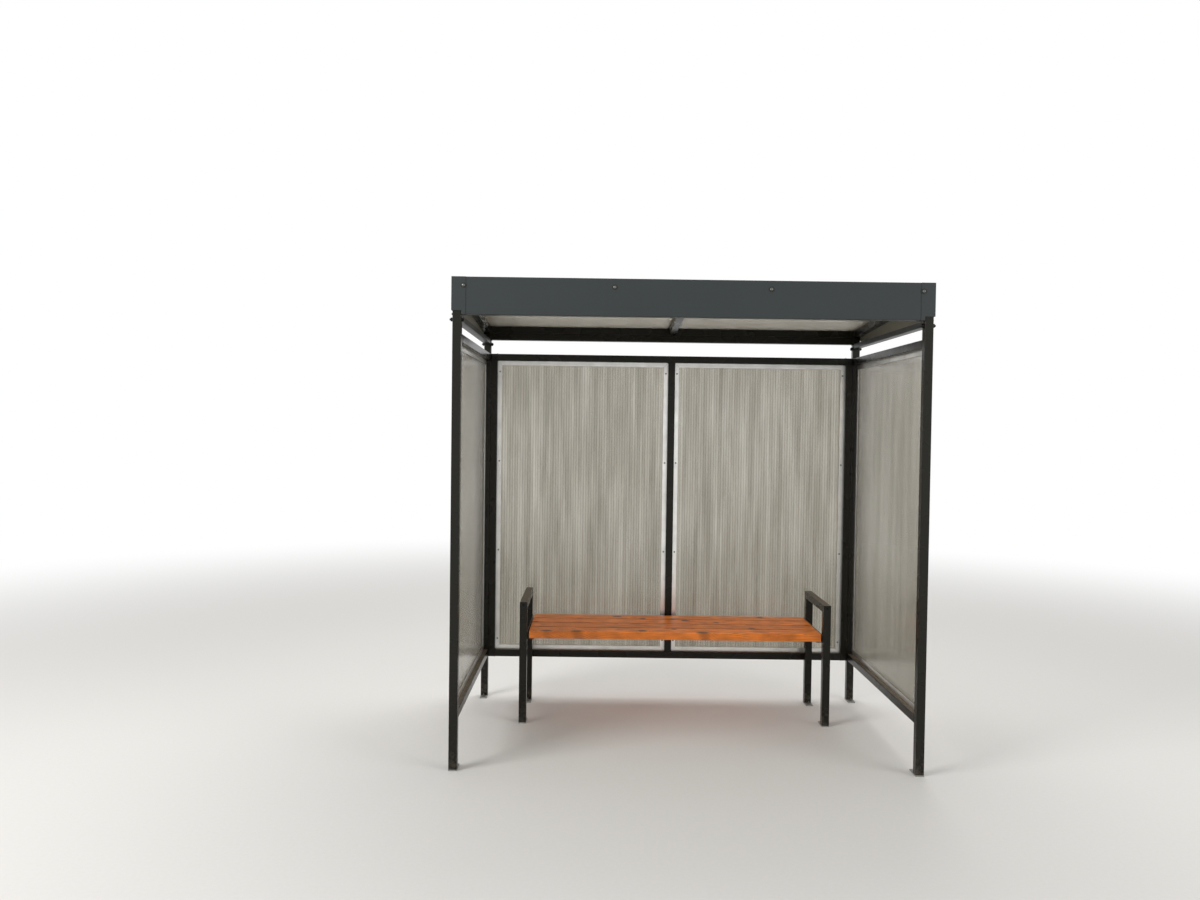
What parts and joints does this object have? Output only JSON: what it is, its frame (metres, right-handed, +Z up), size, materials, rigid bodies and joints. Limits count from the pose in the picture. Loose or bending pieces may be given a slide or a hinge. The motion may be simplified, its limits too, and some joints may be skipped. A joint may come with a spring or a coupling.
{
  "type": "bus shelter",
  "caption": "Small open-fronted shelter of square steel tube with clear twin-wall walls and a sloping roof behind a sheet fascia, with a free-standing wooden bench inside.",
  "frame": {"origin": "on the ground, in the middle of the shelter", "axes": "+X to the right for a viewer in front, front faces -Y, +Z up"},
  "size_m": [2.21, 1.258, 2.275],
  "materials": {
    "powder_coat": "anthracite grey powder coat, fine satin texture",
    "aluminium": "mill finish aluminium glazing channel",
    "polycarbonate": "clear twin-wall polycarbonate with upright ribs",
    "wood": "knotty pine with an orange brown stain"
  },
  "bodies": {
    "root": {"back_beam": "powder_coat", "back_bottom_rail": "powder_coat", "back_left_channel": "aluminium", "back_left_panel": "polycarbonate", "back_mullion": "powder_coat", "back_post_left": "powder_coat", "back_post_right": "powder_coat", "back_right_channel": "aluminium", "back_right_panel": "polycarbonate", "back_stile_left": "powder_coat", "back_stile_right": "powder_coat", "back_top_rail": "powder_coat", "bench_armrest_left": "powder_coat", "bench_armrest_right": "powder_coat", "bench_back_leg_left": "powder_coat", "bench_back_leg_right": "powder_coat", "bench_front_leg_left": "powder_coat", "bench_front_leg_right": "powder_coat", "bench_plank_1": "wood", "bench_plank_2": "wood", "bench_plank_3": "wood", "bench_plank_4": "wood", "bench_seat_angle_left": "powder_coat", "bench_seat_angle_right": "powder_coat", "front_fascia": "powder_coat", "front_post_left": "powder_coat", "front_post_right": "powder_coat", "roof_back_tube": "powder_coat", "roof_eave_angle": "aluminium", "roof_front_tube": "powder_coat", "roof_panel_left": "polycarbonate", "roof_panel_right": "polycarbonate", "roof_rafter": "powder_coat", "roof_side_tube_left": "powder_coat", "roof_side_tube_right": "powder_coat", "side_bottom_rail_left": "powder_coat", "side_bottom_rail_right": "powder_coat", "side_fascia_left": "powder_coat", "side_fascia_right": "powder_coat", "side_left_channel": "aluminium", "side_left_panel": "polycarbonate", "side_right_channel": "aluminium", "side_right_panel": "polycarbonate", "side_top_rail_left": "powder_coat", "side_top_rail_right": "powder_coat"}
  },
  "joints": []
}
